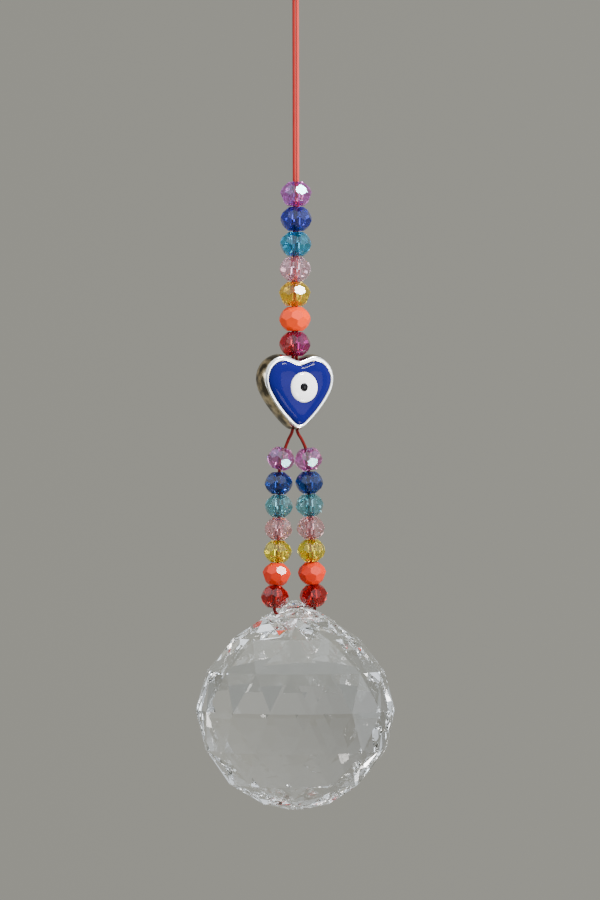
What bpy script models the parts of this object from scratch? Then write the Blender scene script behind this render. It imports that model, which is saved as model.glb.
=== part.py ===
"""Suncatcher: a cord with faceted glass beads, an enamelled heart bead and a faceted crystal ball.

The frame: +Z up, +X to the viewer's right, -Y towards the viewer. The origin is where the hanging loop
rests on its hook, so everything hangs below it. Metres throughout.
One cord is folded in two. Its fold passes through the ball's drilled lug, each lower strand carries seven
beads, both strands together pass through the heart and the seven upper beads, and a knot closes the loop.
"""

import math

import bmesh
import bpy
from mathutils import Matrix, Vector

# The cord and its hanging loop
CORD_DIAMETER = 0.00062
STRAND_GAP = 0.00006
LOOP_LENGTH = 0.034
LOOP_HALF_WIDTH = 0.0044
KNOT_RADIUS = 0.00145
KNOT_HEIGHT = 0.0032
KNOT_BORE_RADIUS = 0.0008
# How much of its wall the knot loses towards each end, and how finely it is turned
KNOT_SHRINK = 0.75
KNOT_RINGS = 9
KNOT_SIDES = 18
CORD_END_GAP = 0.0012
BEND_RADIUS = 2.0 * CORD_DIAMETER
CORD_MAX_STEP = 0.006
CORD_MAX_SAG = 0.00004

# The upper beads, threaded on both strands
BEADS_BELOW_ORIGIN = 0.0764
UPPER_RADIUS = 0.00305
UPPER_HEIGHT = 0.0048
UPPER_GAP = 0.0002
UPPER_BORE_RADIUS = 0.00082
UPPER_COLOURS = {
    "violet": (0.30, 0.10, 0.36),
    "blue": (0.02, 0.06, 0.42),
    "teal": (0.02, 0.24, 0.33),
    "pink": (0.72, 0.45, 0.50),
    "amber": (0.75, 0.36, 0.02),
    "coral": (0.88, 0.13, 0.05),
    "red": (0.34, 0.01, 0.03),
}
# How far each upper bead's axis strays sideways, because the strands aren't drawn quite straight
UPPER_SWAY = (0.00010, 0.00015, 0.00004, -0.00008, -0.00016, -0.00012, -0.00012)

# The lower beads, seven on each strand
LOWER_RADIUS = 0.00272
LOWER_HEIGHT = 0.0044
LOWER_GAP = 0.00015
# The uppermost pair hangs tilted, so its lower rims stand off the pair below, most on the left
LEFT_FIRST_GAP = 0.0006
RIGHT_FIRST_GAP = 0.0003
LOWER_BORE_RADIUS = 0.00068
LOWER_COLOURS = {
    "violet": (0.28, 0.09, 0.33),
    "blue": (0.02, 0.07, 0.36),
    "teal": (0.10, 0.36, 0.42),
    "pink": (0.66, 0.45, 0.48),
    "green": (0.48, 0.50, 0.05),
    "orange": (0.80, 0.07, 0.02),
    "red": (0.40, 0.00, 0.01),
}
# The way down a lower strand: share of the beads' run, and distance from the middle in bead radii
LEFT_WAY = (
    (0.0, 0.76),
    (0.07, 1.03),
    (0.14, 1.19),
    (0.23, 1.22),
    (0.37, 1.225),
    (0.51, 1.29),
    (0.65, 1.365),
    (0.80, 1.49),
    (0.93, 1.70),
)
RIGHT_WAY = (
    (0.0, 0.74),
    (0.065, 0.90),
    (0.135, 0.96),
    (0.22, 0.94),
    (0.36, 1.07),
    (0.50, 1.15),
    (0.64, 1.22),
    (0.79, 1.30),
    (0.92, 1.44),
)
SPREAD_LENGTH = 0.0035
# How far the strands are apart under the heart's tip, in strand offsets, and halfway to the lower beads
SPREAD_AT_TIP = 1.4
HALFWAY_SPREAD = 0.00132
# The strands lean, so the beads' run is a little shorter in height than along the cord
RUN_LEAN = 0.993
# The strands pull the uppermost pairs together, so these beads sit a little outside their strand
BEAD_SHIFTS = (0.00028, 0.00010, 0.0, 0.0, 0.0, 0.0, 0.0)

# Facets of a bead: eight above and eight below the girdle, staggered, and eight more round each end
BEAD_FACETS = 8
GIRDLE_TILT = math.radians(22.0)
SHOULDER_TILT = math.radians(49.0)
SHOULDER_START = 0.64
BORE_SIDES = 16
# How far each bead is turned on its strand, from the top down, in degrees
UPPER_TURNS = (23.0, 34.0, 31.0, 12.0, 22.0, 11.0, 35.0)
LEFT_TURNS = (7.0, 11.0, 34.0, 38.0, 12.0, 22.0, 10.0)
RIGHT_TURNS = (40.0, 34.0, 10.0, 8.0, 35.0, 18.0, 12.0)

# The heart bead
HEART_HALF_WIDTH = 0.0076
HEART_THICKNESS = 0.0046
HEART_BULGE = 0.0005
HEART_GAP = 0.0006
HEART_YAW = math.radians(28.0)
HEART_OFFSET_X = -0.00016
HEART_BORE_RADIUS = 0.00105
HEART_RIM = 0.0007
# Over the lobes the rim is wider, so the enamel's upper half is lower than the outline's by this share
ENAMEL_TOP = 0.95
POCKET_DEPTH = 0.0006
FITTING_GAP = 0.00005
DOME_HEIGHT = 0.0007
EYE_RADIUS = 0.0031
EYE_OFFSET = (0.00062, 0.00075)
EYE_DEPTH = 0.0005
PUPIL_RADIUS = 0.0008
PUPIL_DEPTH = 0.00025
HEART_POINTS = 48
# Half of the heart's outline, from the notch round to the tip, in half widths
HEART_HALF = (
    (0.0, 0.78),
    (0.19, 0.84),
    (0.43, 0.92),
    (0.68, 0.86),
    (0.89, 0.68),
    (1.0, 0.39),
    (0.96, 0.09),
    (0.80, -0.21),
    (0.58, -0.50),
    (0.335, -0.76),
    (0.14, -0.93),
    (0.0, -0.975),
)

# The crystal ball
BALL_RADIUS = 0.020
BALL_YAW = math.radians(27.0)
# Rows of facet corners from the girdle to a pole: latitude, corners in the row, turn in steps, and the
# share of the radius at which the row lies on the crown, which is cut a little flatter than the underside
FACET_ROWS = (
    (0.0, 15, 0.0, 1.0),
    (23.5, 15, 0.5, 0.972),
    (48.0, 10, 0.25, 0.962),
    (70.0, 5, 0.25, 0.985),
    (83.0, 5, 0.75, 1.0),
)
FACET_TURN = math.radians(13.0)
# The lug's faceted roof: radius of each ring, and its height above the sphere's top
LUG_RINGS = ((0.0068, -0.0015), (0.0044, -0.00025), (0.0021, 0.00085), (0.0007, 0.0018))
LUG_SIDES = 10
# On each side a notch is ground into the lug where the strand comes down and enters the bore
LUG_HALF_WIDTH = 0.0030
NOTCH_WIDTH = 0.0040
LEDGE_DROP = 0.0014
BALL_BORE_RADIUS = 0.0008
BALL_BORE_DROP = 0.0010
BEAD_ABOVE_BORE = 0.00116

# Heights that follow from the sizes
UPPER_PITCH = UPPER_HEIGHT + UPPER_GAP
UPPER_BOTTOM_Z = -BEADS_BELOW_ORIGIN - len(UPPER_COLOURS) * UPPER_PITCH + UPPER_GAP
HEART_NOTCH = HEART_HALF[0][1] * HEART_HALF_WIDTH + HEART_BULGE
HEART_Z = UPPER_BOTTOM_Z - HEART_GAP - HEART_NOTCH
HEART_TIP_Z = HEART_Z + HEART_HALF[-1][1] * HEART_HALF_WIDTH - HEART_BULGE
LOWER_TOP_Z = HEART_TIP_Z - SPREAD_LENGTH
LOWER_PITCH = LOWER_HEIGHT + LOWER_GAP
LOWER_DROP = (len(LOWER_COLOURS) * LOWER_PITCH - LOWER_GAP + LEFT_FIRST_GAP) * RUN_LEAN
BALL_BORE_Z = LOWER_TOP_Z - LOWER_DROP - BEAD_ABOVE_BORE
BALL_Z = BALL_BORE_Z - BALL_RADIUS + BALL_BORE_DROP
LEDGE_Z = BALL_RADIUS - LEDGE_DROP
STRAND_OFFSET = (CORD_DIAMETER + STRAND_GAP) / 2.0
HANG_RADII = {-1.0: LUG_HALF_WIDTH + 1.42 * BEND_RADIUS, 1.0: LUG_HALF_WIDTH + 1.07 * BEND_RADIUS}


def clear_scene():
    for existing in list(bpy.data.objects):
        bpy.data.objects.remove(existing)


def material(name, colour, roughness, metallic=0.0, transmission=0.0):
    made = bpy.data.materials.new(name)
    made.use_nodes = True
    shader = made.node_tree.nodes["Principled BSDF"]
    shader.inputs["Base Color"].default_value = (*colour, 1.0)
    shader.inputs["Roughness"].default_value = roughness
    shader.inputs["Metallic"].default_value = metallic
    shader.inputs["Transmission Weight"].default_value = transmission
    return made


def object_from(bm, name, look=None, smooth_angle=None):
    """A new object that holds the shape, with its faces pointing out."""
    bmesh.ops.recalc_face_normals(bm, faces=bm.faces)
    mesh = bpy.data.meshes.new(name)
    bm.to_mesh(mesh)
    bm.free()
    made = bpy.data.objects.new(name, mesh)
    bpy.context.collection.objects.link(made)
    finish_look(made, look, smooth_angle)
    return made


def finish_look(made, look, smooth_angle=None):
    if look is not None:
        made.data.materials.clear()
        made.data.materials.append(look)
    if smooth_angle is not None:
        made.data.shade_smooth()
        made.data.set_sharp_from_angle(angle=smooth_angle)


def boolean(target, tool, operation="DIFFERENCE"):
    """Cuts, keeps or adds the tool's shape, and removes the tool."""
    modifier = target.modifiers.new("Boolean", "BOOLEAN")
    modifier.operation = operation
    modifier.solver = "EXACT"
    modifier.object = tool
    tool.hide_render = True
    tool.display_type = "WIRE"
    graph = bpy.context.evaluated_depsgraph_get()
    result = bpy.data.meshes.new_from_object(target.evaluated_get(graph))
    target.modifiers.clear()
    target.data = result
    bpy.data.objects.remove(tool)


def rod(radius, length, sides, axis="Z", centre=(0.0, 0.0, 0.0)):
    """A cylinder along one axis, used as a cutting tool."""
    turn = {
        "X": Matrix.Rotation(math.pi / 2.0, 4, "Y"),
        "Y": Matrix.Rotation(math.pi / 2.0, 4, "X"),
        "Z": Matrix.Identity(4),
    }[axis]
    bm = bmesh.new()
    bmesh.ops.create_cone(
        bm,
        cap_ends=True,
        segments=sides,
        radius1=radius,
        radius2=radius,
        depth=length,
        matrix=Matrix.Translation(centre) @ turn,
    )
    return object_from(bm, "rod_tool")


def block(size, centre):
    bm = bmesh.new()
    bmesh.ops.create_cube(bm, size=1.0, matrix=Matrix.Translation(centre) @ Matrix.Diagonal((*size, 1.0)))
    return object_from(bm, "block_tool")


def loft(rings, bottom_centre, top_centre):
    """A closed shape through rings of equal count, closed by a fan of triangles at each end."""
    bm = bmesh.new()
    rows = [[bm.verts.new(point) for point in ring] for ring in rings]
    count = len(rows[0])
    for lower, upper in zip(rows, rows[1:]):
        for k in range(count):
            following = (k + 1) % count
            bm.faces.new((lower[k], lower[following], upper[following], upper[k]))
    for row, centre in ((rows[0], bottom_centre), (rows[-1], top_centre)):
        middle = bm.verts.new(centre)
        for k in range(count):
            bm.faces.new((row[k], row[(k + 1) % count], middle))
    return bm


def smooth_through(points, closed=False, steps=24):
    """Points along a smooth centripetal curve through the given points."""
    points = [Vector(point) for point in points]
    if closed:
        padded = [points[-1], *points, points[0], points[1]]
    else:
        padded = [2.0 * points[0] - points[1], *points, 2.0 * points[-1] - points[-2]]
    curve = []
    for before, start, end, after in zip(padded, padded[1:], padded[2:], padded[3:]):
        knots = [0.0]
        for a, b in ((before, start), (start, end), (end, after)):
            knots.append(knots[-1] + math.sqrt((b - a).length))
        for step in range(steps):
            t = knots[1] + (knots[2] - knots[1]) * step / steps
            first = blend(before, start, knots[0], knots[1], t)
            second = blend(start, end, knots[1], knots[2], t)
            third = blend(end, after, knots[2], knots[3], t)
            left = blend(first, second, knots[0], knots[2], t)
            right = blend(second, third, knots[1], knots[3], t)
            curve.append(blend(left, right, knots[1], knots[2], t))
    if not closed:
        curve.append(points[-1])
    return curve


def blend(a, b, start, end, t):
    share = (t - start) / (end - start)
    return a * (1.0 - share) + b * share


def heart_outline(offset):
    """The heart's outline in its own plane, moved outwards by the offset, with evenly spaced points."""
    half = [Vector((u * HEART_HALF_WIDTH, v * HEART_HALF_WIDTH)) for u, v in HEART_HALF]
    other = [Vector((-point.x, point.y)) for point in reversed(half[1:-1])]
    fine = smooth_through([point.to_3d() for point in half + other], closed=True)
    lengths = [0.0]
    for a, b in zip(fine, fine[1:] + fine[:1]):
        lengths.append(lengths[-1] + (b - a).length)
    outline = []
    index = 0
    for k in range(HEART_POINTS):
        wanted = lengths[-1] * k / HEART_POINTS
        while lengths[index + 1] < wanted:
            index += 1
        share = (wanted - lengths[index]) / (lengths[index + 1] - lengths[index])
        here = fine[index].lerp(fine[(index + 1) % len(fine)], share)
        ahead = fine[(index + 3) % len(fine)]
        behind = fine[index - 3]
        along = (ahead - behind).normalized()
        outward = Vector((-along.y, along.x))
        outline.append((here.x + outward.x * offset, here.y + outward.y * offset))
    return outline


def heart_ring(offset, depth, shrink=1.0, top=1.0):
    """A ring of the heart's outline at a depth along Y, drawn in towards the heart's middle."""
    ring = []
    for u, v in heart_outline(offset):
        lowered = v * top if v > 0.0 else v
        ring.append((u * shrink, depth, lowered * shrink))
    return ring


def tilted(angle, tilt):
    """The direction at an angle round Z, tilted up from level."""
    level = math.cos(tilt)
    return (level * math.cos(angle), level * math.sin(angle), math.sin(tilt))


def bead_mesh(name, radius, height, bore_radius):
    """A faceted rondelle, cut by planes from a plain block and drilled along Z."""
    half = height / 2.0
    bm = bmesh.new()
    bmesh.ops.create_cube(bm, size=4.0 * radius)
    planes = [((0.0, 0.0, 1.0), half), ((0.0, 0.0, -1.0), half)]
    shoulder = radius - SHOULDER_START * half * math.tan(GIRDLE_TILT)
    reach = shoulder * math.cos(SHOULDER_TILT) + SHOULDER_START * half * math.sin(SHOULDER_TILT)
    for k in range(BEAD_FACETS):
        for side, stagger in ((1.0, 0.0), (-1.0, 0.5)):
            step = 2.0 * math.pi / BEAD_FACETS
            normal = tilted((k + stagger) * step, side * GIRDLE_TILT)
            planes.append((normal, radius * math.cos(GIRDLE_TILT)))
            normal = tilted((k + stagger + 0.5) * step, side * SHOULDER_TILT)
            planes.append((normal, reach))
    for normal, distance in planes:
        geometry = bm.verts[:] + bm.edges[:] + bm.faces[:]
        done = bmesh.ops.bisect_plane(
            bm,
            geom=geometry,
            dist=1e-7,
            plane_co=Vector(normal) * distance,
            plane_no=normal,
            clear_outer=True,
        )
        rim = [part for part in done["geom_cut"] if isinstance(part, bmesh.types.BMEdge)]
        if rim:
            bmesh.ops.contextual_create(bm, geom=rim)
    bead = object_from(bm, name)
    boolean(bead, rod(bore_radius, 2.0 * height, BORE_SIDES))
    return bead


def place_along(made, low, high, turn):
    """Stands a piece that was made along Z on the line from low to high."""
    axis = Vector(high) - Vector(low)
    middle = (Vector(high) + Vector(low)) / 2.0
    upright = Vector((0.0, 0.0, 1.0)).rotation_difference(axis).to_matrix().to_4x4()
    made.matrix_world = Matrix.Translation(middle) @ upright @ Matrix.Rotation(turn, 4, "Z")


def lower_way(way, side):
    """The points of a lower strand beside its beads, turning from the heart's plane to the ball's bore."""
    points = []
    for share, radii in way:
        turn = BALL_YAW * share
        away = side * radii * LOWER_RADIUS
        points.append((away * math.cos(turn), away * math.sin(turn), LOWER_TOP_Z - share * LOWER_DROP))
    return points


def bore_entry(side):
    """The bend from the hanging strand into the ball's bore, from above to the bore's axis."""
    points = []
    for degrees in (0.0, 30.0, 60.0, 90.0):
        angle = math.radians(degrees)
        away = side * (HANG_RADII[side] - BEND_RADIUS * (1.0 - math.cos(angle)))
        height = BALL_BORE_Z + BEND_RADIUS * (1.0 - math.sin(angle))
        points.append((away * math.cos(BALL_YAW), away * math.sin(BALL_YAW), height))
    return points


def upper_way(side):
    """The points of one upper strand, from under the knot down through the beads and the heart."""
    away = side * STRAND_OFFSET
    knot_z = -LOOP_LENGTH - KNOT_HEIGHT
    between = (knot_z - BEADS_BELOW_ORIGIN) / 2.0
    points = [(away, 0.0, knot_z), (away + UPPER_SWAY[0] / 2.0, 0.0, between)]
    for k, sway in enumerate(UPPER_SWAY):
        points.append((away + sway, 0.0, -BEADS_BELOW_ORIGIN - k * UPPER_PITCH - UPPER_HEIGHT / 2.0))
    points.append((away + HEART_OFFSET_X, 0.0, HEART_Z + HEART_NOTCH))
    points.append((away + HEART_OFFSET_X, 0.0, HEART_Z))
    points.append((SPREAD_AT_TIP * away + HEART_OFFSET_X, 0.0, HEART_TIP_Z))
    points.append((side * HALFWAY_SPREAD + HEART_OFFSET_X / 2.0, 0.0, HEART_TIP_Z - SPREAD_LENGTH / 2.0))
    return points


def loop_way(side):
    """One side of the hanging loop, from inside the knot up to just short of its crown."""
    away = side * LOOP_HALF_WIDTH
    knot_top = -LOOP_LENGTH
    return [
        (side * STRAND_OFFSET, 0.0, knot_top - (KNOT_HEIGHT - CORD_END_GAP) / 2.0),
        (side * STRAND_OFFSET, 0.0, knot_top),
        (0.26 * away, 0.0, 0.87 * knot_top),
        (0.74 * away, 0.0, 0.60 * knot_top),
        (away, 0.0, 0.31 * knot_top),
        (0.76 * away, 0.0, 0.09 * knot_top),
    ]


def cord_route():
    """The whole cord: out of the knot, round the loop, down the left, through the ball, up the right."""
    crown = [(0.0, 0.0, CORD_DIAMETER / 2.0)]
    loop = loop_way(1.0) + crown + loop_way(-1.0)[:0:-1]
    left = upper_way(-1.0) + lower_way(LEFT_WAY, -1.0) + bore_entry(-1.0)
    right = upper_way(1.0) + lower_way(RIGHT_WAY, 1.0) + bore_entry(1.0)
    end = (STRAND_OFFSET, 0.0, -LOOP_LENGTH - (KNOT_HEIGHT + CORD_END_GAP) / 2.0)
    return loop + left + right[::-1] + [end]


def fewest(curve):
    """The points of a fine curve that keep its shape, close together only where it bends."""
    kept = [0]
    while kept[-1] < len(curve) - 1:
        start = kept[-1]
        best = start + 1
        for end in range(start + 1, len(curve)):
            chord = curve[end] - curve[start]
            if chord.length > CORD_MAX_STEP:
                break
            direction = chord.normalized()
            sag = 0.0
            for point in curve[start:end]:
                beside = point - curve[start]
                sag = max(sag, (beside - direction * beside.dot(direction)).length)
            if sag <= CORD_MAX_SAG:
                best = end
        kept.append(best)
    return [curve[k] for k in kept]


def along_lower(way, side):
    """The fine curve of a lower strand, from its uppermost bead to the ball's bore."""
    return smooth_through(upper_way(side)[-2:] + lower_way(way, side) + bore_entry(side))


def point_at(curve, start_z, distance):
    """The point on a downward curve that lies a distance along it, measured from a height."""
    travelled = None
    for a, b in zip(curve, curve[1:]):
        if travelled is None:
            if b.z < start_z:
                share = (a.z - start_z) / (a.z - b.z)
                travelled = -(b - a).length * share
            else:
                continue
        step = (b - a).length
        if travelled + step >= distance:
            return a.lerp(b, (distance - travelled) / step)
        travelled += step
    return curve[-1]


def make_cord():
    points = fewest(smooth_through(cord_route()))
    data = bpy.data.curves.new("cord", "CURVE")
    data.dimensions = "3D"
    data.bevel_depth = CORD_DIAMETER / 2.0
    data.bevel_resolution = 2
    data.use_fill_caps = True
    spline = data.splines.new("POLY")
    spline.points.add(len(points) - 1)
    for slot, point in zip(spline.points, points):
        slot.co = (*point, 1.0)
    made = bpy.data.objects.new("cord", data)
    bpy.context.collection.objects.link(made)
    data.materials.append(material("red_cord", (0.62, 0.03, 0.03), 0.75))


def make_knot():
    """The knot that closes the loop, as one turned barrel round the strands."""
    half = KNOT_HEIGHT / 2.0
    wall = KNOT_RADIUS - KNOT_BORE_RADIUS
    rings = []
    for step in range(KNOT_RINGS):
        rise = math.pi * (step / (KNOT_RINGS - 1.0) - 0.5)
        radius = KNOT_RADIUS - KNOT_SHRINK * wall * (1.0 - math.cos(rise) ** 0.7)
        ring = []
        for k in range(KNOT_SIDES):
            angle = 2.0 * math.pi * k / KNOT_SIDES
            ring.append((radius * math.cos(angle), radius * math.sin(angle), half * math.sin(rise)))
        rings.append(ring)
    bm = loft(rings, (0.0, 0.0, -half), (0.0, 0.0, half))
    knot = object_from(bm, "loop_knot")
    boolean(knot, rod(KNOT_BORE_RADIUS, 2.0 * KNOT_HEIGHT, KNOT_SIDES))
    finish_look(knot, material("red_knot", (0.58, 0.03, 0.03), 0.8), math.radians(40.0))
    knot.location = (0.0, 0.0, -LOOP_LENGTH - half)


def make_upper_beads():
    pattern = bead_mesh("upper_pattern", UPPER_RADIUS, UPPER_HEIGHT, UPPER_BORE_RADIUS)
    fine = smooth_through([(x - STRAND_OFFSET, y, z) for x, y, z in upper_way(1.0)[:-2]])
    for k, (colour_name, colour) in enumerate(UPPER_COLOURS.items()):
        top = -BEADS_BELOW_ORIGIN - k * UPPER_PITCH
        high = point_at(fine, top, 0.0)
        low = point_at(fine, top - UPPER_HEIGHT, 0.0)
        bead = bpy.data.objects.new("bead_top_" + colour_name, pattern.data.copy())
        bpy.context.collection.objects.link(bead)
        opaque = colour_name == "coral"
        finish_look(bead, material("glass_top_" + colour_name, colour, 0.08, 0.0, 0.0 if opaque else 0.9))
        place_along(bead, low, high, math.radians(UPPER_TURNS[k]))
    bpy.data.objects.remove(pattern)


def make_lower_beads():
    pattern = bead_mesh("lower_pattern", LOWER_RADIUS, LOWER_HEIGHT, LOWER_BORE_RADIUS)
    strands = (
        ("left", -1.0, LEFT_WAY, LEFT_FIRST_GAP, LEFT_TURNS),
        ("right", 1.0, RIGHT_WAY, RIGHT_FIRST_GAP, RIGHT_TURNS),
    )
    for side_name, side, way, first_gap, turns in strands:
        fine = along_lower(way, side)
        for k, (colour_name, colour) in enumerate(LOWER_COLOURS.items()):
            start = k * LOWER_PITCH + (first_gap - LOWER_GAP if k else 0.0)
            high = point_at(fine, LOWER_TOP_Z, start)
            low = point_at(fine, LOWER_TOP_Z, start + LOWER_HEIGHT)
            bead = bpy.data.objects.new("bead_" + side_name + "_" + colour_name, pattern.data.copy())
            bpy.context.collection.objects.link(bead)
            opaque = colour_name == "orange"
            name = "glass_" + side_name + "_" + colour_name
            finish_look(bead, material(name, colour, 0.08, 0.0, 0.0 if opaque else 0.9))
            shift = Vector((side * BEAD_SHIFTS[k], 0.0, 0.0))
            place_along(bead, low + shift, high + shift, math.radians(turns[k]))
    bpy.data.objects.remove(pattern)


def heart_body():
    half = HEART_THICKNESS / 2.0
    rings = []
    for share in (-1.0, -0.86, -0.5, 0.0, 0.5, 0.86, 1.0):
        rings.append(heart_ring(HEART_BULGE * (1.0 - share * share), half * share))
    return object_from(loft(rings, (0.0, -half, 0.0), (0.0, half, 0.0)), "heart_frame")


def pocket_tool(side):
    floor = side * (HEART_THICKNESS / 2.0 - POCKET_DEPTH)
    outside = side * HEART_THICKNESS
    rings = [heart_ring(-HEART_RIM, depth, top=ENAMEL_TOP) for depth in (floor, outside)]
    return object_from(loft(rings, (0.0, floor, 0.0), (0.0, outside, 0.0)), "pocket_tool")


def enamel_body(name, side):
    """Enamel that fills the pocket and rises to a low glossy dome."""
    plane = HEART_THICKNESS / 2.0
    inset = -HEART_RIM - FITTING_GAP
    rings = [heart_ring(inset, side * (plane - POCKET_DEPTH + FITTING_GAP), top=ENAMEL_TOP)]
    for shrink in (1.0, 0.95, 0.82, 0.60, 0.30):
        rise = DOME_HEIGHT * (1.0 - shrink ** 3)
        rings.append(heart_ring(inset, side * (plane + rise), shrink, ENAMEL_TOP))
    bottom = rings[0][0][1]
    return object_from(loft(rings, (0.0, bottom, 0.0), (0.0, side * (plane + DOME_HEIGHT), 0.0)), name)


def face_disc(side, radius, floor):
    """A round tool over the eye's place that reaches from a floor out past the dome."""
    top = HEART_THICKNESS / 2.0 + 2.0 * DOME_HEIGHT
    middle = (side * -EYE_OFFSET[0], side * (floor + top) / 2.0, EYE_OFFSET[1])
    return rod(radius, top - floor, 32, "Y", middle)


def make_heart():
    metal = material("heart_metal", (0.78, 0.77, 0.74), 0.12, 1.0)
    blue = material("blue_enamel", (0.012, 0.035, 0.33), 0.06)
    white = material("white_enamel", (0.86, 0.87, 0.90), 0.08)
    black = material("black_enamel", (0.01, 0.01, 0.012), 0.08)
    place = Matrix.Translation((HEART_OFFSET_X, 0.0, HEART_Z)) @ Matrix.Rotation(HEART_YAW, 4, "Z")
    frame = heart_body()
    dome = HEART_THICKNESS / 2.0 + DOME_HEIGHT
    pieces = [(frame, metal)]
    for side_name, side in (("front", -1.0), ("back", 1.0)):
        boolean(frame, pocket_tool(side))
        enamel = enamel_body("enamel_" + side_name, side)
        boolean(enamel, face_disc(side, EYE_RADIUS + FITTING_GAP, dome - EYE_DEPTH - FITTING_GAP))
        eye = enamel_body("eye_" + side_name, side)
        boolean(eye, face_disc(side, EYE_RADIUS, dome - EYE_DEPTH), "INTERSECT")
        boolean(eye, face_disc(side, PUPIL_RADIUS + FITTING_GAP, dome - PUPIL_DEPTH - FITTING_GAP))
        pupil = enamel_body("pupil_" + side_name, side)
        boolean(pupil, face_disc(side, PUPIL_RADIUS, dome - PUPIL_DEPTH), "INTERSECT")
        pieces += [(enamel, blue), (eye, white), (pupil, black)]
    boolean(frame, rod(HEART_BORE_RADIUS, 4.0 * HEART_HALF_WIDTH, 24))
    for piece, look in pieces:
        finish_look(piece, look, math.radians(35.0))
        piece.matrix_world = place


def ball_body():
    """Corners in rows on a sphere, joined by the flat facets of their hull."""
    bm = bmesh.new()
    for latitude, count, turn, crown in FACET_ROWS:
        for side in (1.0, -1.0) if latitude else (1.0,):
            away = BALL_RADIUS * (crown if side > 0.0 else 1.0)
            height = side * math.sin(math.radians(latitude)) * away
            ring = math.cos(math.radians(latitude)) * away
            for k in range(count):
                angle = FACET_TURN + 2.0 * math.pi * (k + turn) / count
                bm.verts.new((ring * math.cos(angle), ring * math.sin(angle), height))
    bmesh.ops.convex_hull(bm, input=bm.verts)
    return object_from(bm, "crystal_ball")


def lug_body():
    """The lug's faceted roof, with each ring turned half a step against the one below."""
    bm = bmesh.new()
    rows = []
    for index, (radius, height) in enumerate(LUG_RINGS):
        row = []
        for k in range(LUG_SIDES):
            angle = 2.0 * math.pi * (k + 0.5 * index) / LUG_SIDES
            place = (radius * math.cos(angle), radius * math.sin(angle), BALL_RADIUS + height)
            row.append(bm.verts.new(place))
        rows.append(row)
    for lower, upper in zip(rows, rows[1:]):
        for k in range(LUG_SIDES):
            following = (k + 1) % LUG_SIDES
            bm.faces.new((lower[k], lower[following], upper[k]))
            bm.faces.new((lower[following], upper[following], upper[k]))
    foot = [bm.verts.new((vert.co.x, vert.co.y, BALL_RADIUS / 2.0)) for vert in rows[0]]
    for k in range(LUG_SIDES):
        following = (k + 1) % LUG_SIDES
        bm.faces.new((foot[k], foot[following], rows[0][following], rows[0][k]))
    bm.faces.new(foot)
    bm.faces.new(rows[-1])
    return object_from(bm, "lug_tool")


def make_ball():
    ball = ball_body()
    boolean(ball, lug_body(), "UNION")
    for side in (1.0, -1.0):
        centre = (side * (LUG_HALF_WIDTH + BALL_RADIUS / 2.0), 0.0, LEDGE_Z + BALL_RADIUS / 2.0)
        boolean(ball, block((BALL_RADIUS, NOTCH_WIDTH, BALL_RADIUS), centre))
    bore = (0.0, 0.0, BALL_RADIUS - BALL_BORE_DROP)
    boolean(ball, rod(BALL_BORE_RADIUS, 2.0 * BALL_RADIUS, 24, "X", bore))
    finish_look(ball, material("clear_crystal", (0.98, 0.99, 1.0), 0.0, 0.0, 1.0))
    ball.matrix_world = Matrix.Translation((0.0, 0.0, BALL_Z)) @ Matrix.Rotation(BALL_YAW, 4, "Z")


def main():
    clear_scene()
    make_cord()
    make_knot()
    make_upper_beads()
    make_heart()
    make_lower_beads()
    make_ball()


main()
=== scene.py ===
"""Suncatcher: the dressed model. Metres, +Z up, the viewer on the -Y side."""
import math

import bmesh
import bpy
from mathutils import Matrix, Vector


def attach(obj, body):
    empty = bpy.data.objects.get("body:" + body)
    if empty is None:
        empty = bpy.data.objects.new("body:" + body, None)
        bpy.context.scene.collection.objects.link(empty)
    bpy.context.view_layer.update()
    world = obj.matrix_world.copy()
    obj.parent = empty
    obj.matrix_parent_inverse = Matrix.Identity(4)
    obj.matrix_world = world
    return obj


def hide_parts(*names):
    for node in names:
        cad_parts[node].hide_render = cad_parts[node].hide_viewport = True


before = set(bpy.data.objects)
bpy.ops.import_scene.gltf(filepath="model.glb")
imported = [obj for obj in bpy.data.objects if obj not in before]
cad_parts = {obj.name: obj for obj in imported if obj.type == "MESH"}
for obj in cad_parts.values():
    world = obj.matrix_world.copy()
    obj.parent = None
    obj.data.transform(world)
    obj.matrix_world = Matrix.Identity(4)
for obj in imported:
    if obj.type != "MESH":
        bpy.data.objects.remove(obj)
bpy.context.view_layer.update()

# The photograph's framing: the view's height at the piece, its middle, and how far off the camera stands
VIEW_HEIGHT = 0.180
VIEW_MIDDLE = (0.0009, 0.0, -0.130)
CAMERA_AWAY = 1.0
CAMERA_FILM = 36.0

# The cord's route, as in the part's source
CORD_DIAMETER = 0.00062
STRAND_GAP = 0.00006
LOOP_LENGTH = 0.034
LOOP_HALF_WIDTH = 0.0044
KNOT_HEIGHT = 0.0032
KNOT_TURNS = 4
KNOT_STEPS = 28
# The knot's ends start at this share of its reach, and come out to all of it over this share of a turn
TUCK_START = 0.25
TUCK_TURN = 0.4
CORD_END_GAP = 0.0012
BEND_RADIUS = 2.0 * CORD_DIAMETER
BEADS_BELOW_ORIGIN = 0.0764
UPPER_HEIGHT = 0.0048
UPPER_GAP = 0.0002
UPPER_PITCH = UPPER_HEIGHT + UPPER_GAP
# How far each upper bead has strayed to the side
UPPER_SWAY = (0.00010, 0.00015, 0.00004, -0.00008, -0.00016, -0.00012, -0.00012)
LOWER_RADIUS = 0.00272
LOWER_HEIGHT = 0.0044
LOWER_GAP = 0.00015
LOWER_COUNT = 7
FIRST_GAP = 0.0006
# The lower strands lean apart, so they drop a little less than their length
RUN_LEAN = 0.993
LOWER_DROP = (LOWER_COUNT * (LOWER_HEIGHT + LOWER_GAP) - LOWER_GAP + FIRST_GAP) * RUN_LEAN
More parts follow.
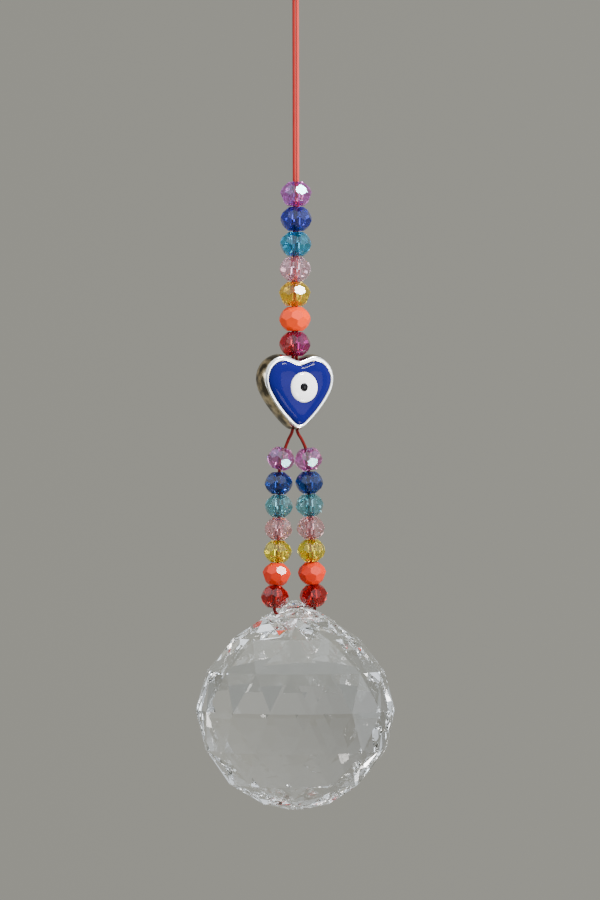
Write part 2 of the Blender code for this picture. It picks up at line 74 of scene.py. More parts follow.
# The lower strands' points: the share of the drop, and how far out in bead radii
LEFT_WAY = (
    (0.0, 0.76),
    (0.07, 1.03),
    (0.14, 1.19),
    (0.23, 1.22),
    (0.37, 1.225),
    (0.51, 1.29),
    (0.65, 1.365),
    (0.80, 1.49),
    (0.93, 1.70),
)
RIGHT_WAY = (
    (0.0, 0.74),
    (0.065, 0.90),
    (0.135, 0.96),
    (0.22, 0.94),
    (0.36, 1.07),
    (0.50, 1.15),
    (0.64, 1.22),
    (0.79, 1.30),
    (0.92, 1.44),
)
# Below the heart the strands part: over this length, this much wider at the tip, and this far out halfway
SPREAD_LENGTH = 0.0035
SPREAD_AT_TIP = 1.4
HALFWAY_SPREAD = 0.00132

# The heart bead, as in the part's source
HEART_HALF_WIDTH = 0.0076
HEART_THICKNESS = 0.0046
HEART_BULGE = 0.0005
HEART_GAP = 0.0006
HEART_OFFSET_X = -0.00016
HEART_YAW = math.radians(28.0)
HEART_RIM = 0.0007
ENAMEL_TOP = 0.95
HEART_BORE_RADIUS = 0.00105
POCKET_DEPTH = 0.0006
DOME_HEIGHT = 0.0007
# Each step of the enamel's dome: how much the outline shrinks, and the share of the dome's height it rises
ENAMEL_DOME = (
    (0.975, 0.22),
    (0.96, 0.20),
    (0.94, 0.18),
    (0.90, 0.16),
    (0.82, 0.13),
    (0.66, 0.08),
    (0.45, 0.03),
)
RIM_ROUNDING = 0.00028
ENAMEL_CLEARANCE = 0.00004
EYE_RADIUS = 0.0031
EYE_OFFSET = (0.00062, 0.00075)
EYE_DEPTH = 0.0005
EYE_CLEARANCE = 0.00003
PUPIL_RADIUS = 0.00088
PUPIL_STRAY = 0.0003
# Each drop of enamel: how far its edge lies in front of the eye's seat, the height of its crown, and its foot
EYE_EDGE = 0.00026
EYE_CROWN = 0.00075
PUPIL_EDGE = 0.00092
PUPIL_CROWN = 0.00028
DROP_FOOT = 0.00025
HEART_POINTS = 48
HEART_HALF = (
    (0.0, 0.78),
    (0.19, 0.84),
    (0.43, 0.92),
    (0.68, 0.86),
    (0.89, 0.68),
    (1.0, 0.39),
    (0.96, 0.09),
    (0.80, -0.21),
    (0.58, -0.50),
    (0.335, -0.76),
    (0.14, -0.93),
    (0.0, -0.975),
)
HEART_NOTCH = HEART_HALF[0][1] * HEART_HALF_WIDTH + HEART_BULGE
UPPER_BOTTOM_Z = -BEADS_BELOW_ORIGIN - len(UPPER_SWAY) * UPPER_PITCH + UPPER_GAP
HEART_Z = UPPER_BOTTOM_Z - HEART_GAP - HEART_NOTCH
HEART_TIP_Z = HEART_Z + HEART_HALF[-1][1] * HEART_HALF_WIDTH - HEART_BULGE

# The lower end of the route
LOWER_TOP_Z = HEART_TIP_Z - SPREAD_LENGTH
BALL_YAW = math.radians(27.0)
BEAD_ABOVE_BORE = 0.00116
LUG_HALF_WIDTH = 0.0030
BALL_BORE_Z = LOWER_TOP_Z - LOWER_DROP - BEAD_ABOVE_BORE
STRAND_OFFSET = (CORD_DIAMETER + STRAND_GAP) / 2.0
# How far out each strand hangs beside the ball's lug, by side
HANG_RADII = {-1.0: LUG_HALF_WIDTH + 1.42 * BEND_RADIUS, 1.0: LUG_HALF_WIDTH + 1.07 * BEND_RADIUS}

# The braid's yarns: how many wind round each way, and how often they cross along one cord diameter
YARNS_ROUND = 4.0
CROSSINGS_ALONG = 1.1
# The braid's reds: painted shade in the gaps between the yarns, on the yarns, a painted highlight on the +X
# side where the key lamp falls, and painted shade below the beads where the heart shades the strands
BRAID_GAP_PAINTED_SHADE = (0.10, 0.005, 0.005)
BRAID_YARN = (0.40, 0.018, 0.015)
BRAID_PAINTED_LIGHT = (0.92, 0.062, 0.052)
BRAID_SHADED = (0.15, 0.003, 0.002)

# How much of the light passes the coloured glass, and the rest lights up its colour
CLEARNESS = 0.96
# Each clear glass: its two tints, the second one painted on the bead's right side as painted light where the
# key lamp falls, and the thickness of the sheen film on it in nanometres
TOP_GLASS = {
    "violet": ((0.58, 0.16, 0.68), (0.80, 0.23, 0.70), 380.0),
    "blue": ((0.03, 0.04, 0.52), (0.05, 0.07, 0.60), 0.0),
    "teal": ((0.03, 0.44, 0.76), (0.06, 0.52, 0.80), 0.0),
    "pink": ((1.00, 0.57, 0.70), (1.00, 0.66, 0.76), 0.0),
    "amber": ((1.00, 0.58, 0.01), (1.00, 0.72, 0.05), 0.0),
    "red": ((0.66, 0.02, 0.02), (0.52, 0.02, 0.28), 0.0),
}
LOW_GLASS = {
    "violet": ((0.62, 0.19, 0.50), (0.74, 0.25, 0.52), 380.0),
    "blue": ((0.010, 0.050, 0.30), (0.022, 0.072, 0.37), 0.0),
    "teal": ((0.15, 0.47, 0.54), (0.22, 0.54, 0.61), 0.0),
    "pink": ((0.88, 0.46, 0.49), (0.90, 0.54, 0.56), 0.0),
    "green": ((0.88, 0.74, 0.02), (0.90, 0.72, 0.05), 0.0),
    "red": ((0.50, 0.002, 0.002), (0.68, 0.008, 0.006), 0.0),
}
# The opaque glasses' two tints
CORAL_GLASS = ((0.80, 0.056, 0.002), (0.70, 0.042, 0.002))
ORANGE_GLASS = ((0.60, 0.027, 0.003), (0.50, 0.018, 0.003))

SILVER = (0.93, 0.93, 0.92)
# The band's toning: a dark brown, and a warm gold that is a painted reflection
SILVER_DARK_TONE = (0.11, 0.09, 0.06)
SILVER_PAINTED_GLINT = (0.84, 0.66, 0.40)
# Each fitting's enamel: its slot, the look's name, the colour, the deeper one, and the strength of the gloss
ENAMELS = {
    "enamel": ("blue_enamel", "royal_enamel", (0.0088, 0.0082, 0.124), (0.0052, 0.0050, 0.080), 0.09),
    "eye": ("white_enamel", "milk_enamel", (0.98, 0.98, 0.99), (0.94, 0.95, 0.98), 0.9),
    "pupil": ("black_enamel", "ink_enamel", (0.006, 0.006, 0.007), (0.003, 0.003, 0.004), 0.2),
}

FLOOR_PAINT = (0.215, 0.206, 0.172)
FLOOR_SIZE = 8.0
FLOOR_Z = -0.75
LAMPS_AIM = (0.0, 0.0, -0.13)
# Each lamp: its name, size, watts, colour and place
LAMPS = (
    ("key", (0.24, 0.24), 22.0, (1.0, 0.98, 0.95), (0.60, -0.44, 0.60)),
    ("sill_glow", (0.22, 0.22), 5.4, (1.0, 0.97, 0.93), (0.42, -0.25, -0.66)),
    ("side_window", (0.7, 1.0), 4.0, (0.86, 0.93, 1.0), (1.25, 0.20, -0.10)),
    ("right_window", (0.4, 0.4), 3.0, (0.98, 0.99, 1.0), (0.95, -0.62, -0.13)),
    ("low_lamp", (0.26, 0.26), 3.0, (1.0, 0.98, 0.95), (0.51, -0.90, -0.48)),
    ("left_window", (0.50, 0.90), 6.0, (0.84, 0.93, 1.0), (-1.10, -0.22, -0.20)),
)
# The room's light by direction: level with the eye, overhead, and the far wall's left and right
ROOM_TONE = (0.66, 0.71, 0.76)
SKY_TONE = (2.10, 2.24, 2.38)
WALL_SHADE = (0.235, 0.232, 0.206)
WALL_LIGHT = (0.415, 0.410, 0.360)
# Where in the direction's Z, Y and X each of them turns into the other
SKY_RISE = (0.1, 1.0)
WALL_EDGE = (0.05, 0.20)
WALL_ACROSS = (-0.8, 0.8)


def blend(a, b, start, end, t):
    """The mix of two points that stands at t, when they stand at start and end."""
    share = (t - start) / (end - start)
    return a * (1.0 - share) + b * share


def smooth_through(points, closed=False, steps=12):
    """Points along a smooth curve through the given points."""
    points = [Vector(point) for point in points]
    if closed:
        padded = [points[-1], *points, points[0], points[1]]
    else:
        padded = [2.0 * points[0] - points[1], *points, 2.0 * points[-1] - points[-2]]
    curve = []
    for before, start, end, after in zip(padded, padded[1:], padded[2:], padded[3:]):
        knots = [0.0]
        for a, b in ((before, start), (start, end), (end, after)):
            knots.append(knots[-1] + math.sqrt((b - a).length))
        for step in range(steps):
            t = knots[1] + (knots[2] - knots[1]) * step / steps
            first = blend(before, start, knots[0], knots[1], t)
            second = blend(start, end, knots[1], knots[2], t)
            third = blend(end, after, knots[2], knots[3], t)
            left = blend(first, second, knots[0], knots[2], t)
            right = blend(second, third, knots[1], knots[3], t)
            curve.append(blend(left, right, knots[1], knots[2], t))
    if not closed:
        curve.append(points[-1])
    return curve


def lower_way(way, side):
    """One strand's points from the heart's tip down through the lower beads."""
    points = []
    for share, radii in way:
        turn = BALL_YAW * share
        away = side * radii * LOWER_RADIUS
        points.append((away * math.cos(turn), away * math.sin(turn), LOWER_TOP_Z - share * LOWER_DROP))
    return points


def bore_entry(side):
    """One strand's quarter turn into the ball's bore."""
    points = []
    for degrees in (0.0, 30.0, 60.0, 90.0):
        angle = math.radians(degrees)
        away = side * (HANG_RADII[side] - BEND_RADIUS * (1.0 - math.cos(angle)))
        height = BALL_BORE_Z + BEND_RADIUS * (1.0 - math.sin(angle))
        points.append((away * math.cos(BALL_YAW), away * math.sin(BALL_YAW), height))
    return points


def upper_way(side):
    """One strand's points from the knot down through the upper beads and the heart."""
    away = side * STRAND_OFFSET
    knot_z = -LOOP_LENGTH - KNOT_HEIGHT
    points = [(away, 0.0, knot_z), (away + UPPER_SWAY[0] / 2.0, 0.0, (knot_z - BEADS_BELOW_ORIGIN) / 2.0)]
    for k, sway in enumerate(UPPER_SWAY):
        points.append((away + sway, 0.0, -BEADS_BELOW_ORIGIN - k * UPPER_PITCH - UPPER_HEIGHT / 2.0))
    points.append((away + HEART_OFFSET_X, 0.0, HEART_Z + HEART_NOTCH))
    points.append((away + HEART_OFFSET_X, 0.0, HEART_Z))
    points.append((SPREAD_AT_TIP * away + HEART_OFFSET_X, 0.0, HEART_TIP_Z))
    points.append((side * HALFWAY_SPREAD + HEART_OFFSET_X / 2.0, 0.0, HEART_TIP_Z - SPREAD_LENGTH / 2.0))
    return points


def loop_way(side):
    """One side of the hanging loop, from inside the knot upwards."""
    away = side * LOOP_HALF_WIDTH
    top = -LOOP_LENGTH
    return [
        (side * STRAND_OFFSET, 0.0, top - (KNOT_HEIGHT - CORD_END_GAP) / 2.0),
        (side * STRAND_OFFSET, 0.0, top),
        (0.26 * away, 0.0, 0.87 * top),
        (0.74 * away, 0.0, 0.60 * top),
        (away, 0.0, 0.31 * top),
        (0.76 * away, 0.0, 0.09 * top),
    ]


def cord_route():
    """The whole cord: knot, loop, left strand, through the ball, right strand, and back into the knot."""
    loop = loop_way(1.0) + [(0.0, 0.0, CORD_DIAMETER / 2.0)] + loop_way(-1.0)[:0:-1]
    left = upper_way(-1.0) + lower_way(LEFT_WAY, -1.0) + bore_entry(-1.0)
    right = upper_way(1.0) + lower_way(RIGHT_WAY, 1.0) + bore_entry(1.0)
    end = (STRAND_OFFSET, 0.0, -LOOP_LENGTH - (KNOT_HEIGHT + CORD_END_GAP) / 2.0)
    return smooth_through(loop + left + right[::-1] + [end])


def tube(name, path, radius, sides=12):
    """A round tube along a path, with a UV map in cord diameters: round it, then along it."""
    bm = bmesh.new()
    uv = bm.loops.layers.uv.new("UVMap")
    side_axis = None
    rows = []
    travelled = [0.0]
    for k, point in enumerate(path):
        ahead = path[min(k + 1, len(path) - 1)]
        behind = path[max(k - 1, 0)]
        along = (ahead - behind).normalized()
        if side_axis is None:
            side_axis = along.orthogonal().normalized()
        side_axis = (side_axis - along * side_axis.dot(along)).normalized()
        other = along.cross(side_axis)
        row = []
        for j in range(sides):
            angle = 2.0 * math.pi * j / sides
            row.append(bm.verts.new(point + (side_axis * math.cos(angle) + other * math.sin(angle)) * radius))
        rows.append(row)
        if k:
            travelled.append(travelled[-1] + (point - path[k - 1]).length)
    for k in range(len(rows) - 1):
        for j in range(sides):
            following = (j + 1) % sides
            face = bm.faces.new((rows[k][j], rows[k][following], rows[k + 1][following], rows[k + 1][j]))
            face.smooth = True
            corners = ((j, k), (j + 1, k), (j + 1, k + 1), (j, k + 1))
            for loop, (around, row) in zip(face.loops, corners):
                loop[uv].uv = (around / sides, travelled[row] / (2.0 * radius))
    bm.faces.new(rows[0][::-1])
    bm.faces.new(rows[-1])
    mesh = bpy.data.meshes.new(name)
    bm.to_mesh(mesh)
    bm.free()
    made = bpy.data.objects.new(name, mesh)
    bpy.context.collection.objects.link(made)
    return made


class Look:
    """A material or a world in the making: its shader, and short ways to add the nodes that feed it."""

    def __init__(self, name, world=False):
        self.made = bpy.data.worlds.new(name) if world else bpy.data.materials.new(name)
        self.made.use_nodes = True
        self.nodes = self.made.node_tree.nodes
        self.links = self.made.node_tree.links
        self.shader = self.nodes["Background" if world else "Principled BSDF"]

    def set(self, **values):
        """Sets the shader's plain values by their names."""
        for key, value in values.items():
            self.shader.inputs[key.replace("_", " ").title().replace("Ior", "IOR")].default_value = value

    def node(self, kind, **values):
        """A new node of a kind, with its settings."""
        made = self.nodes.new("ShaderNode" + kind)
        for key, value in values.items():
            setattr(made, key, value)
        return made

    def feed(self, value, socket):
        """Gives a socket a number or a colour, or links it to the output that makes one."""
        if isinstance(value, bpy.types.NodeSocket):
            self.links.new(value, socket)
        elif isinstance(value, tuple):
            socket.default_value = (*value, 1.0)
        else:
            socket.default_value = value

    def place(self):
        """The point's place on the object."""
        return self.node("TexCoord").outputs["Object"]

    def parts(self, vector):
        """A vector's three parts, by X, Y and Z."""
        split = self.node("SeparateXYZ")
        self.feed(vector, split.inputs["Vector"])
        return split.outputs

    def work(self, operation, *values):
        """One step of arithmetic."""
        step = self.node("Math", operation=operation)
        for value, socket in zip(values, step.inputs):
            self.feed(value, socket)
        return step.outputs[0]

    def cloud(self, scale, detail):
        """Soft clouds over the object."""
        noise = self.node("TexNoise")
        noise.inputs["Scale"].default_value = scale
        noise.inputs["Detail"].default_value = detail
        self.feed(self.place(), noise.inputs["Vector"])
        return noise.outputs["Fac"]

    def spread(self, source, start, end, low=0.0, high=1.0):
        """Goes from low, at one value of the source, to high at the other."""
        share = self.node("MapRange")
        sockets = ("Value", "From Min", "From Max", "To Min", "To Max")
        for socket, value in zip(sockets, (source, start, end, low, high)):
            self.feed(value, share.inputs[socket])
        return share.outputs["Result"]

    def mix(self, share, colour, other):
        """Shades from one colour to the other by a share."""
        mixed = self.node("Mix", data_type="RGBA")
        self.feed(share, mixed.inputs["Factor"])
        self.feed(colour, mixed.inputs["A"])
        self.feed(other, mixed.inputs["B"])
        return mixed.outputs["Result"]

    def colour(self, source):
        """Colours the material by a source."""
        self.feed(source, self.shader.inputs["Base Color"])


def wear(piece, look):
    """Gives a piece one material."""
    piece.data.materials.clear()
    piece.data.materials.append(look.made)


def braid_look(name):
    """A fine round braid whose yarns wind both ways and cross, with painted shade in the gaps, a painted
    highlight on one side and painted shade below.
    """
    look = Look(name)
    look.set(roughness=0.7, specular_ior_level=0.15)
    thread = look.parts(look.node("UVMap", uv_map="UVMap").outputs["UV"])
    waves = []
    for way in (1.0, -1.0):
        turn = look.work("MULTIPLY", thread["X"], YARNS_ROUND * way)
        climb = look.work("MULTIPLY_ADD", thread["Y"], CROSSINGS_ALONG, turn)
        waves.append(look.work("SINE", look.work("MULTIPLY", climb, 2.0 * math.pi)))
    height = look.spread(look.work("MAXIMUM", *waves), -0.6, 1.0)
    where = look.parts(look.place())
    # Painted highlight: the yarns turn paler towards the +X side, where the key lamp falls
    yarn = look.mix(look.spread(where["X"], -0.0002, 0.0002), BRAID_YARN, BRAID_PAINTED_LIGHT)
    # Painted shade: the cord turns darker below the heart, where the heart shades the strands
    lower = look.mix(look.spread(where["Z"], -0.080, -0.118), yarn, BRAID_SHADED)
    # Painted shade: the gaps between the yarns are darker where the braid's height is low
    look.colour(look.mix(height, BRAID_GAP_PAINTED_SHADE, lower))
    bump = look.node("Bump")
    bump.inputs["Strength"].default_value = 0.6
    bump.inputs["Distance"].default_value = 0.00008
    look.feed(height, bump.inputs["Height"])
    look.feed(bump.outputs["Normal"], look.shader.inputs["Normal"])
    return look


def glass_look(name, bead, colour, other, film):
    """Clear coloured glass that shades from one tint on the left to another on the right of the bead, a
    painted highlight on the side the key lamp lights.
    """
    look = Look(name)
    look.set(roughness=0.02, ior=1.55, transmission_weight=CLEARNESS, specular_ior_level=0.25)
    middle = sum(corner[0] for corner in bead.bound_box) / len(bead.bound_box)
    # Painted light: the tint shades to the second one towards the bead's right, the lit side
    across = look.work("MULTIPLY_ADD", look.cloud(300.0, 1.0), 0.002, look.parts(look.place())["X"])
    look.colour(look.mix(look.spread(across, middle - 0.0002, middle + 0.0020), colour, other))
    if film:
        look.set(thin_film_thickness=film, thin_film_ior=1.7)
    return look


def opaque_glass_look(name, colour, other):
    """Pressed opaque glass, clouded with a second tint under a clear gloss."""
    look = Look(name)
    look.set(roughness=0.3, ior=1.55, specular_ior_level=0.1, coat_weight=0.3, coat_roughness=0.03)
    look.set(subsurface_weight=0.15, subsurface_radius=(0.0015, 0.0005, 0.0003))
    look.colour(look.mix(look.cloud(260.0, 3.0), colour, other))
    return look


def enamel_look(name, colour, deep, gloss):
    """Fired enamel: a glassy coat over a colour that pools a little deeper in places."""
    look = Look(name)
    look.set(roughness=0.35, ior=1.5, specular_ior_level=0.0, coat_weight=gloss, coat_roughness=0.05)
    look.colour(look.mix(look.cloud(300.0, 3.0), deep, colour))
    return look


def silver_look():
    """Polished silver on the faces, toned brown round the band and down in the corners, with warm gold
    painted reflections clouded into the toning.
    """
    look = Look("toned_silver")
    look.set(metallic=1.0)
    depth = look.node("VectorMath", operation="DOT_PRODUCT")
    depth.inputs[1].default_value = (-math.sin(HEART_YAW), math.cos(HEART_YAW), 0.0)
    look.feed(look.place(), depth.inputs[0])
    off_middle = look.work("ABSOLUTE", depth.outputs["Value"])
    band = look.spread(off_middle, HEART_THICKNESS / 2.0 - 0.00016, HEART_THICKNESS / 2.0 - 0.00050)
    cloud = look.cloud(420.0, 4.0)
    # The toning clouds dark brown with warm gold; the gold is a painted reflection of a warm room
    toning_and_painted_glints = look.node("ValToRGB")
    tones = ((0.42, SILVER_DARK_TONE), (0.64, SILVER_PAINTED_GLINT))
    for stop, (place, tone) in zip(toning_and_painted_glints.color_ramp.elements, tones):
        stop.position = place
        stop.color = (*tone, 1.0)
    look.feed(cloud, toning_and_painted_glints.inputs["Fac"])
    look.colour(look.mix(band, SILVER, toning_and_painted_glints.outputs["Color"]))
    look.feed(look.spread(cloud, 0.0, 1.0, 0.10, 0.26), look.shader.inputs["Roughness"])
    return look


def crystal_look():
    """Colourless cut crystal, with the faintest smears of handling on its polish."""
    look = Look("cut_crystal")
    look.set(base_color=(0.985, 0.99, 1.0, 1.0), ior=1.54, transmission_weight=1.0)
    smears = look.spread(look.cloud(90.0, 2.0), 0.55, 0.75, 0.0, 0.02)
    look.feed(smears, look.shader.inputs["Roughness"])
    return look


def place_camera():
    """The camera of the photograph, level with the piece's visible middle."""
    data = bpy.data.cameras.new("view")
    data.sensor_fit = "VERTICAL"
    data.sensor_height = CAMERA_FILM
    data.lens = CAMERA_FILM * CAMERA_AWAY / VIEW_HEIGHT
    data.clip_start = 0.01
    camera = bpy.data.objects.new("view", data)
    camera.location = (VIEW_MIDDLE[0], -CAMERA_AWAY, VIEW_MIDDLE[2])
    camera.rotation_euler = (math.radians(90.0), 0.0, 0.0)
    bpy.context.collection.objects.link(camera)
    bpy.context.scene.camera = camera


def model_knot():
    """The knot under the loop: the cord wound round both strands, with its ends tucked in."""
    winds = []
    reach = STRAND_OFFSET + CORD_DIAMETER
    bottom = -LOOP_LENGTH - KNOT_HEIGHT + CORD_DIAMETER / 2.0
    last = KNOT_TURNS * KNOT_STEPS
    for k in range(last + 1):
        angle = 2.0 * math.pi * k / KNOT_STEPS
        from_end = min(k, last - k) / KNOT_STEPS
        away = reach * min(1.0, TUCK_START + from_end / TUCK_TURN)
        height = bottom + (KNOT_HEIGHT - CORD_DIAMETER) * k / last
        winds.append(Vector((away * math.cos(angle), away * math.sin(angle), height)))
    return tube("wrapped_knot", winds, CORD_DIAMETER / 2.0)


def hang_cord():
    """The braided cord from end to end, and the knot that holds its loop."""
    path = cord_route()
    cord = tube("red_cord", path, CORD_DIAMETER / 2.0)
    wear(cord, braid_look("braid"))
    knot = model_knot()
    wear(knot, braid_look("knot_braid"))
    for piece in (cord, knot):
        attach(piece, "root")
    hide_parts("cord")
    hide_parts("loop_knot")


def heart_outline(offset):
    """The heart's outline, moved outwards by the offset, with evenly spaced points from the notch."""
    half = [Vector((u * HEART_HALF_WIDTH, v * HEART_HALF_WIDTH, 0.0)) for u, v in HEART_HALF]
    other = [Vector((-point.x, point.y, 0.0)) for point in reversed(half[1:-1])]
    fine = smooth_through(half + other, closed=True, steps=24)
    lengths = [0.0]
    for a, b in zip(fine, fine[1:] + fine[:1]):
        lengths.append(lengths[-1] + (b - a).length)
    outline = []
    index = 0
    for k in range(HEART_POINTS):
        wanted = lengths[-1] * k / HEART_POINTS
        while lengths[index + 1] < wanted:
            index += 1
        share = (wanted - lengths[index]) / (lengths[index + 1] - lengths[index])
        here = fine[index].lerp(fine[(index + 1) % len(fine)], share)
        along = (fine[(index + 3) % len(fine)] - fine[index - 3]).normalized()
        outline.append((here.x - along.y * offset, here.y + along.x * offset))
    return outline


def select_only(piece):
    """Selects one piece and makes it the active one."""
    bpy.ops.object.select_all(action="DESELECT")
    piece.select_set(True)
    bpy.context.view_layer.objects.active = piece


def start_editing(piece):
    """Opens a piece in edit mode with nothing in it selected."""
    select_only(piece)
    bpy.ops.object.mode_set(mode="EDIT")
    bpy.ops.mesh.select_all(action="DESELECT")


def select_back_faces(piece):
    """Selects the faces that look straight away from the viewer."""
    bpy.ops.mesh.select_all(action="DESELECT")
    bpy.ops.mesh.select_mode(type="FACE")
    bm = bmesh.from_edit_mesh(piece.data)
    for face in bm.faces:
        face.select_set(face.normal.y > 0.9)
    bm.select_flush_mode()
    bmesh.update_edit_mesh(piece.data)


def turn_from_top(corner):
    """The angle, clockwise from the top, at which a corner of the plate stands."""
    return math.atan2(corner.x, corner.z) % (2.0 * math.pi - 1e-4)


def heart_plate(name, offset, depth, top=1.0):
    """A round plate pulled corner by corner into the heart's outline, at a depth along Y."""
    bpy.ops.object.select_all(action="DESELECT")
    bpy.ops.mesh.primitive_circle_add(vertices=HEART_POINTS, radius=HEART_HALF_WIDTH, fill_type="NGON")
    plate = bpy.context.object
    plate.name = name
    plate.rotation_euler = (math.radians(90.0), 0.0, 0.0)
    plate.location = (0.0, depth, 0.0)
    bpy.ops.object.transform_apply(location=True, rotation=True, scale=True)
    start_editing(plate)
    bpy.ops.mesh.select_mode(type="VERT")
    bm = bmesh.from_edit_mesh(plate.data)
    turns = [turn_from_top(corner.co) for corner in bm.verts]
    clockwise = sorted(range(HEART_POINTS), key=turns.__getitem__)
    for index, (x, z) in zip(clockwise, heart_outline(offset)):
        z = z * top if z > 0.0 else z
        bm = bmesh.from_edit_mesh(plate.data)
        bm.verts.ensure_lookup_table()
        bpy.ops.mesh.select_all(action="DESELECT")
        corner = bm.verts[index]
        corner.select_set(True)
        bpy.ops.transform.translate(value=(x - corner.co.x, 0.0, z - corner.co.z))
    return plate


def grow(piece, way, stretch):
    """Extrudes the selected face along Y and stretches it about the heart's middle."""
    bpy.ops.mesh.extrude_region_move(TRANSFORM_OT_translate={"value": (0.0, way, 0.0)})
    bpy.ops.transform.resize(value=(stretch, 1.0, stretch), center_override=(0.0, 0.0, 0.0))


def cut_with(piece, tool):
    """Cuts the tool's shape out of a piece, and removes the tool."""
    select_only(piece)
    modifier = piece.modifiers.new("Cut", "BOOLEAN")
    modifier.operation = "DIFFERENCE"
    modifier.solver = "EXACT"
    modifier.object = tool
    bpy.ops.object.modifier_apply(modifier=modifier.name)
    bpy.data.objects.remove(tool)


def smooth(piece, degrees):
    """Shades a piece smooth, but for the edges sharper than the angle."""
    select_only(piece)
    bpy.ops.object.shade_smooth_by_angle(angle=math.radians(degrees))


def model_frame():
    """The heart's silver body: a bulged band, and on each face a pocket inside a rounded rim."""
    half = HEART_THICKNESS / 2.0
    body = heart_plate("silver_heart", 0.0, -half)
    bpy.ops.mesh.select_all(action="SELECT")
    bulge = HEART_BULGE / HEART_HALF_WIDTH
    before = 1.0
    shares = (-1.0, -0.86, -0.5, 0.0, 0.5, 0.86, 1.0)
    for start, end in zip(shares, shares[1:]):
        wanted = 1.0 + bulge * (1.0 - end * end)
        grow(body, (end - start) * half, wanted / before)
        before = wanted
    bpy.ops.mesh.select_all(action="SELECT")
    bpy.ops.mesh.normals_make_consistent(inside=False)
    bpy.ops.object.mode_set(mode="OBJECT")
    for side in (-1.0, 1.0):
        pocket = heart_plate("pocket", -HEART_RIM, side * (half - POCKET_DEPTH), ENAMEL_TOP)
        bpy.ops.mesh.select_all(action="SELECT")
        bpy.ops.mesh.extrude_region_move(TRANSFORM_OT_translate={"value": (0.0, side * HEART_THICKNESS, 0.0)})
        bpy.ops.mesh.select_all(action="SELECT")
        bpy.ops.mesh.normals_make_consistent(inside=False)
        bpy.ops.object.mode_set(mode="OBJECT")
        cut_with(body, pocket)
    start_editing(body)
    bpy.ops.mesh.select_mode(type="EDGE")
    bm = bmesh.from_edit_mesh(body.data)
    for edge in bm.edges:
        level = all(abs(abs(corner.co.y) - half) < 1e-6 for corner in edge.verts)
        edge.select_set(level and edge.calc_face_angle(0.0) > math.radians(30.0))
    bmesh.update_edit_mesh(body.data)
    bpy.ops.mesh.bevel(offset=RIM_ROUNDING, segments=4, profile=0.5, clamp_overlap=True)
    bpy.ops.object.mode_set(mode="OBJECT")
    bpy.ops.object.select_all(action="DESELECT")
    bpy.ops.mesh.primitive_cylinder_add(vertices=32, radius=HEART_BORE_RADIUS, depth=4.0 * HEART_HALF_WIDTH)
    cut_with(body, bpy.context.object)
    smooth(body, 38.0)
    return body


def model_enamel():
    """The blue enamel: it fills the pocket and swells to a low dome, with a round seat for the eye."""
    half = HEART_THICKNESS / 2.0
    depth = POCKET_DEPTH - ENAMEL_CLEARANCE
    enamel = heart_plate("blue_face", -HEART_RIM - ENAMEL_CLEARANCE, depth - half, ENAMEL_TOP)
    bpy.ops.mesh.select_all(action="SELECT")
    bpy.ops.mesh.extrude_region_move(TRANSFORM_OT_translate={"value": (0.0, -depth, 0.0)})
    for stretch, rise in ENAMEL_DOME:
        grow(enamel, -rise * DOME_HEIGHT, stretch)
    bpy.ops.mesh.select_all(action="SELECT")
    bpy.ops.mesh.normals_make_consistent(inside=False)
    bpy.ops.object.mode_set(mode="OBJECT")
    bpy.ops.object.select_all(action="DESELECT")
    place = (EYE_OFFSET[0], -half - DOME_HEIGHT, EYE_OFFSET[1])
    upright = (math.radians(90.0), 0.0, 0.0)
    bpy.ops.mesh.primitive_cylinder_add(
        vertices=64,
        radius=EYE_RADIUS,
        depth=2.0 * EYE_DEPTH,
        location=place,
        rotation=upright,
    )
    cut_with(enamel, bpy.context.object)
    smooth(enamel, 35.0)
    return enamel


def model_drop(name, radius, edge, crown, sides, place):
    """A round drop of enamel: a low crown in front of its edge, and a straight foot behind it."""
    bpy.ops.object.select_all(action="DESELECT")
    bpy.ops.mesh.primitive_uv_sphere_add(
        segments=sides,
        ring_count=16,
        radius=radius,
        location=place,
        rotation=(math.radians(90.0), 0.0, 0.0),
    )
    drop = bpy.context.object
    drop.name = name
    bpy.ops.object.transform_apply(location=True, rotation=True, scale=True)
    start_editing(drop)
    bpy.ops.mesh.select_all(action="SELECT")
    bpy.ops.mesh.bisect(plane_co=(0.0, 0.0, 0.0), plane_no=(0.0, 1.0, 0.0), clear_outer=True, use_fill=True)
    bpy.ops.mesh.select_all(action="SELECT")
    bpy.ops.transform.resize(value=(1.0, crown / radius, 1.0), center_override=place)
    bpy.ops.transform.translate(value=(0.0, edge, 0.0))
    select_back_faces(drop)
    bpy.ops.mesh.extrude_region_move(TRANSFORM_OT_translate={"value": (0.0, DROP_FOOT, 0.0)})
    bpy.ops.mesh.select_all(action="SELECT")
    bpy.ops.mesh.normals_make_consistent(inside=False)
    bpy.ops.object.mode_set(mode="OBJECT")
    smooth(drop, 50.0)
    return drop


def settle(piece, turn):
    """Turns a finished piece with the heart and puts it at the heart's height, its own place at nought."""
    select_only(piece)
    piece.rotation_euler = (0.0, 0.0, turn)
    piece.location = (HEART_OFFSET_X, 0.0, HEART_Z)
    bpy.ops.object.transform_apply(location=True, rotation=True, scale=True)


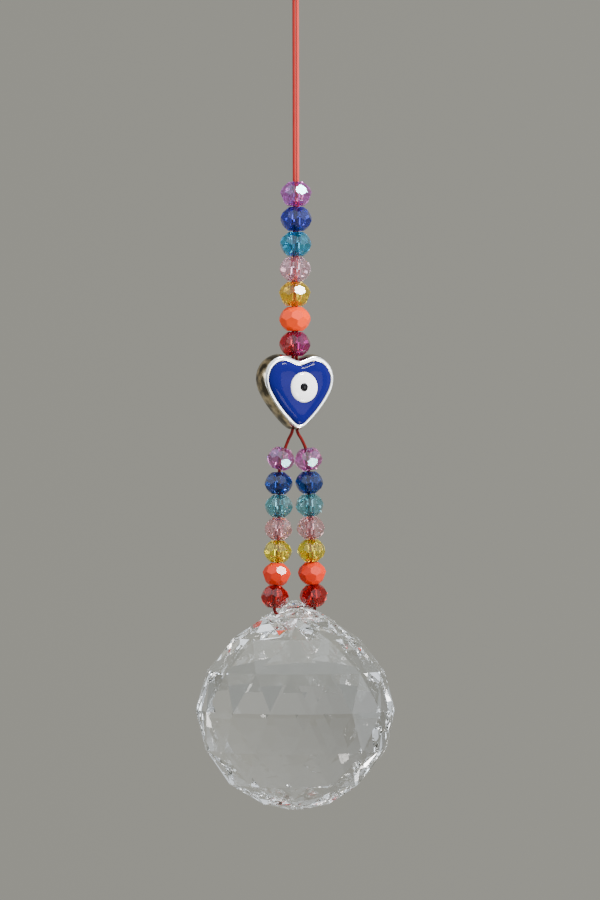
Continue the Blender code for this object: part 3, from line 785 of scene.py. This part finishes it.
def heart():
    """The enamelled heart: its frame, and for each face the blue ground, the white eye and the pupil."""
    body = model_frame()
    wear(body, silver_look())
    settle(body, HEART_YAW)
    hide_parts("heart_frame")
    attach(body, "root")
    seat = -HEART_THICKNESS / 2.0 - DOME_HEIGHT + EYE_DEPTH
    eye_place = (EYE_OFFSET[0], 0.0, EYE_OFFSET[1])
    pupil_place = (EYE_OFFSET[0] - PUPIL_STRAY, 0.0, EYE_OFFSET[1])
    eye = model_drop("white_eye", EYE_RADIUS - EYE_CLEARANCE, seat - EYE_EDGE, EYE_CROWN, 48, eye_place)
    pupil = model_drop("black_pupil", PUPIL_RADIUS, seat - PUPIL_EDGE, PUPIL_CROWN, 32, pupil_place)
    for kind, piece in (("enamel", model_enamel()), ("eye", eye), ("pupil", pupil)):
        slot_name, look_name, colour, deep, gloss = ENAMELS[kind]
        wear(piece, enamel_look(look_name, colour, deep, gloss))
        for side_name, turn in (("front", 0.0), ("back", math.pi)):
            fitted = piece.copy()
            fitted.data = piece.data.copy()
            fitted.name = piece.name + "_" + side_name
            bpy.context.collection.objects.link(fitted)
            settle(fitted, HEART_YAW + turn)
            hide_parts(kind + "_" + side_name)
            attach(fitted, "root")
        bpy.data.objects.remove(piece)


def dress_beads():
    """Each bead in its own glass: the upper row, then the two lower strands."""
    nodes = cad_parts
    for colour, (tint, other, film) in TOP_GLASS.items():
        bead = nodes["bead_top_" + colour]
        wear(bead, glass_look("top_glass_" + colour, bead, tint, other, film))
    wear(nodes["bead_top_coral"], opaque_glass_look("top_glass_coral", *CORAL_GLASS))
    for side in ("left", "right"):
        for colour, (tint, other, film) in LOW_GLASS.items():
            bead = nodes["bead_" + side + "_" + colour]
            wear(bead, glass_look("low_glass_" + side + "_" + colour, bead, tint, other, film))
        wear(nodes["bead_" + side + "_orange"], opaque_glass_look("low_glass_orange_" + side, *ORANGE_GLASS))


def room_light():
    """A bright even room on the viewer's side, paler upwards, and a plain grey wall tone on the far side."""
    room = Look("room", world=True)
    toward = room.parts(room.node("TexCoord").outputs["Generated"])
    sky = room.mix(room.spread(toward["Z"], *SKY_RISE), ROOM_TONE, SKY_TONE)
    wall = room.mix(room.spread(toward["X"], *WALL_ACROSS), WALL_SHADE, WALL_LIGHT)
    whole = room.mix(room.spread(toward["Y"], *WALL_EDGE), sky, wall)
    room.feed(whole, room.shader.inputs["Color"])
    bpy.context.scene.world = room.made


def studio():
    """A pale floor, the room's even light, a soft key light, its glow from below, a low lamp and windows."""
    bpy.ops.mesh.primitive_plane_add(size=FLOOR_SIZE, location=(0.0, 0.0, FLOOR_Z))
    floor = bpy.context.object
    floor.name = "floor"
    look = Look("floor_paint")
    look.set(base_color=(*FLOOR_PAINT, 1.0), roughness=0.9)
    wear(floor, look)
    room_light()
    for name, size, watts, colour, place in LAMPS:
        data = bpy.data.lights.new(name, "AREA")
        data.shape = "RECTANGLE"
        data.size = size[0]
        data.size_y = size[1]
        data.energy = watts
        data.color = colour
        lamp = bpy.data.objects.new(name, data)
        lamp.location = place
        lamp.rotation_euler = (Vector(LAMPS_AIM) - Vector(place)).to_track_quat("-Z", "Y").to_euler()
        bpy.context.collection.objects.link(lamp)
    bounces = bpy.context.scene.cycles
    bounces.max_bounces = 48
    bounces.glossy_bounces = 32
    bounces.transmission_bounces = 48


place_camera()
hang_cord()
heart()
dress_beads()
wear(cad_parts["crystal_ball"], crystal_look())
studio()

bpy.context.view_layer.update()
